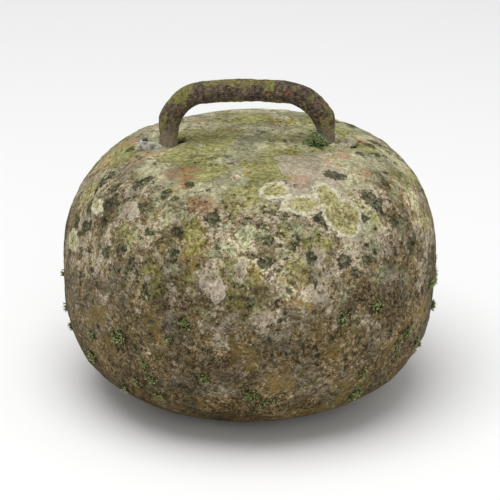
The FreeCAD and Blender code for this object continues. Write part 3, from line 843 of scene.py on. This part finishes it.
def make_lead(side):
    """Poured lead, hammered and corroded. Only a crumpled crescent of it stands clear of the stone."""
    lead = remeshed(f"lead_plug_{side}", f"lead_{side}", (0.5) * MM)
    places, normals = read(lead)
    out = -1 if side == "left" else 1
    top = ease(places[:, 2], CROWN_UP - 9 * MM, CROWN_UP - 4 * MM)
    crumple = 0.60 * rough(places, 0.0050, 51) + 0.55 * noise(places, 0.010, 52)
    places = places + normals * (crumple * top * MM)[:, None]
    outward = (places[:, 0] - LEG_X[side]) * out / MM
    forward = -places[:, 1] / MM
    wander = 0.07 * noise(places, 0.006, 55)
    if side == "left":
        ring = np.hypot((outward - 7.5) / 15.0, (forward - 0.5) / 9.0) + wander
        shown = ease(outward + 0.5 * forward, 6.5, 9.5) * ease(forward + 0.6 * (outward - 13.5), -6.0, -3.0)
        crest = 1.8 * ease(ring, 0.70, 0.82) * ease(ring, 1.10, 0.96)
        trough = 4.5 * ease(ring, 0.80, 0.66)
        border = ease(ring, 1.14, 1.06)
    else:
        ring = np.hypot((outward - 8.5) / 14.0, forward / 10.5) + wander
        shown = ease(outward + 0.8 * forward, 0.5, 4.5)
        crest = 1.1 + 1.0 * ease(ring, 0.80, 0.92) * ease(ring, 1.12, 1.0) * ease(forward, -1.0, 4.0)
        trough = 0.9 * ease(ring, 0.80, 0.60)
        border = ease(ring, 1.22, 1.12)
    worn = 1 + 0.7 * noise(places, 0.0060, 53)
    sink = 8.0 * (1 - shown * border)
    places[:, 2] += (crest * shown * worn - trough - sink) * top * MM
    write(lead, places)
    # Painted shade for the hollow inside the ring and for the lead sunk below the stone.
    lead_hollow_shade = ease(ring, 0.84, 0.70) if side == "left" else 0.55 * ease(ring, 0.75, 0.55)
    set_field(lead, "lead_hollow_shade", np.maximum(lead_hollow_shade, 1 - shown))
    set_field(lead, "cream", np.full(len(places), 1.0 if side == "right" else 0.1))
    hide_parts(f"lead_plug_{side}")
    return lead


# ---------------------------------------------------------------- moss
def skin_point(tree, towards):
    """Where the skin lies in one direction from the girth's centre, and its normal there."""
    middle = Vector((0, 0, GIRTH_UP))
    towards = Vector(towards)
    spot, normal, _, _ = tree.ray_cast(middle + towards * 0.5, -towards)
    return np.array(spot), np.array(normal)


def shoots(name, roots, seed):
    """Small pointed moss shoots, each a bent three-sided spike. A root is its foot, way, length and width."""
    draw = np.random.default_rng(seed)
    points, faces, tips = [], [], []
    for foot, way, length, width in roots:
        side = np.cross(way, draw.normal(size=3))
        side /= np.linalg.norm(side)
        other = np.cross(way, side)
        lean = (side * draw.normal() + other * draw.normal()) * 0.35
        levels = ((-0.15, 0.8), (0.45, 1.0), (0.8, 0.6))
        first = len(points)
        for share, girth in levels:
            middle = foot + way * length * share + lean * length * max(share, 0) ** 2
            for turn in (0, 120, 240):
                a = math.radians(turn)
                points.append(middle + (side * math.cos(a) + other * math.sin(a)) * width * girth)
                tips.append(max(share, 0))
        points.append(foot + (way + lean) * length)
        tips.append(1.0)
        for level in range(2):
            for k in range(3):
                a, b = first + 3 * level + k, first + 3 * level + (k + 1) % 3
                faces += [(a, b, b + 3), (a, b + 3, a + 3)]
        for k in range(3):
            faces.append((first + 6 + k, first + 6 + (k + 1) % 3, first + 9))
        faces.append((first + 2, first + 1, first))
    moss = mesh_object(name, np.array(points), faces, smooth=False)
    set_field(moss, "tip", tips)
    return moss


def make_cushion(tree):
    """The domed moss cushion against the right leg."""
    draw = np.random.default_rng(61)
    inward_of_leg, forward = 11.2, 5.0
    middle = np.array([round(LEG_X["right"] / MM - inward_of_leg, 3), -forward])
    radius, rise = 8.0, 7.2
    base, _ = skin_point(tree, crown_heading(*middle))
    roots = []
    for _ in range(900):
        share = math.sqrt(draw.uniform())
        turn = draw.uniform(0, 2 * math.pi)
        out = np.array([math.cos(turn), math.sin(turn)]) * share * radius
        dome = rise * math.sqrt(max(0, 1 - share**2.6)) * (1 + 0.1 * draw.normal())
        foot = np.array([(middle[0] + out[0]) * MM, (middle[1] + out[1]) * MM, base[2] + (dome - 2.2) * MM])
        way = np.array([out[0] / radius * 0.9, out[1] / radius * 0.9, 1.0 - 0.65 * share**2])
        way /= np.linalg.norm(way)
        roots.append((foot, way, draw.uniform(1.6, 2.8) * MM, draw.uniform(0.30, 0.50) * MM))
    core = dome_core(middle * MM, radius * 0.95 * MM, (rise - 1.2) * MM, base[2])
    spikes = shoots("moss_shoots", roots, 62)
    return [core, spikes]


def dome_core(middle, radius, rise, up):
    """The dark body of the cushion, under its shoots."""
    rings, turns = 10, 28
    narrowest = 0.02 * MM
    points = [(middle[0], middle[1], up - 4 * MM)]
    for ring in range(rings + 1):
        share = ring / rings
        height = rise * math.cos(share * math.pi / 2) - 4 * MM * share**4
        reach = max(radius * math.sin(share * math.pi / 2), narrowest)
        for turn in range(turns):
            a = 2 * math.pi * turn / turns
            points.append((middle[0] + reach * math.cos(a), middle[1] + reach * math.sin(a), up + height))
    points = np.array(points)
    points[1:] += (0.5 * MM) * noise(points[1:], 0.003, 63)[:, None]
    faces = []
    for ring in range(rings):
        for turn in range(turns):
            a, b = 1 + ring * turns + turn, 1 + ring * turns + (turn + 1) % turns
            faces += [(a, a + turns, b + turns), (a, b + turns, b)]
    last = 1 + rings * turns
    for turn in range(turns):
        faces.append((last + turn, 0, last + (turn + 1) % turns))
    for turn in range(1, turns - 1):
        faces.append((1, 1 + turn, 2 + turn))
    core = mesh_object("moss_core", points, faces)
    set_field(core, "tip", np.full(len(points), 0.15))
    return core


def make_tufts(tree):
    """Low tufts of moss on the flank. Their shoots scatter round each patch's middle."""
    girth_radius = round(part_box("stone_body")[1].x, 6)
    degrees_per_mm = 57.3 * MM / girth_radius
    draw = np.random.default_rng(64)
    roots = []
    for azimuth, elevation, wide, tall in strewn("tuft"):
        for _ in range(int(wide * tall * (2.2))):
            across, up = draw.normal(size=2) * 0.45
            wide_off, tall_off = across * wide * degrees_per_mm, up * tall * degrees_per_mm
            towards = heading(azimuth + wide_off, elevation + tall_off)
            foot, normal = skin_point(tree, towards)
            way = normal + draw.normal(size=3) * 0.45 + np.array([0, 0, 0.25])
            way /= np.linalg.norm(way)
            roots.append((foot, way, draw.uniform(1.4, 3.6) * MM, draw.uniform(0.30, 0.55) * MM))
    return shoots("moss_tufts", roots, 65)


# ---------------------------------------------------------------- everything
make_camera()
make_floor()
make_light()

stone = make_stone()
stone.data.materials.append(paint_stone())
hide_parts("stone_body")

handle = make_handle()
handle.data.materials.clear()
handle.data.materials.append(paint_iron())

lead_paint = paint_lead()
leads = [make_lead(side) for side in ("left", "right")]
for lead in leads:
    lead.data.materials.clear()
    lead.data.materials.append(lead_paint)

skin_tree = BVHTree.FromPolygons(
    [v.co for v in stone.data.vertices], [tuple(q.vertices) for q in stone.data.polygons]
)
moss_paint = paint_moss()
mosses = make_cushion(skin_tree) + [make_tufts(skin_tree)]
cushion_tint, tuft_tint = (0.15, 0.21, 0.095), (0.14, 0.15, 0.030)
for moss, tint in zip(mosses, [cushion_tint, cushion_tint, tuft_tint]):
    set_tint(moss, np.tile(tint, (len(moss.data.vertices), 1)))
for moss in mosses:
    moss.data.materials.append(moss_paint)

for piece in [stone, handle, *leads, *mosses]:
    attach(piece, "root")
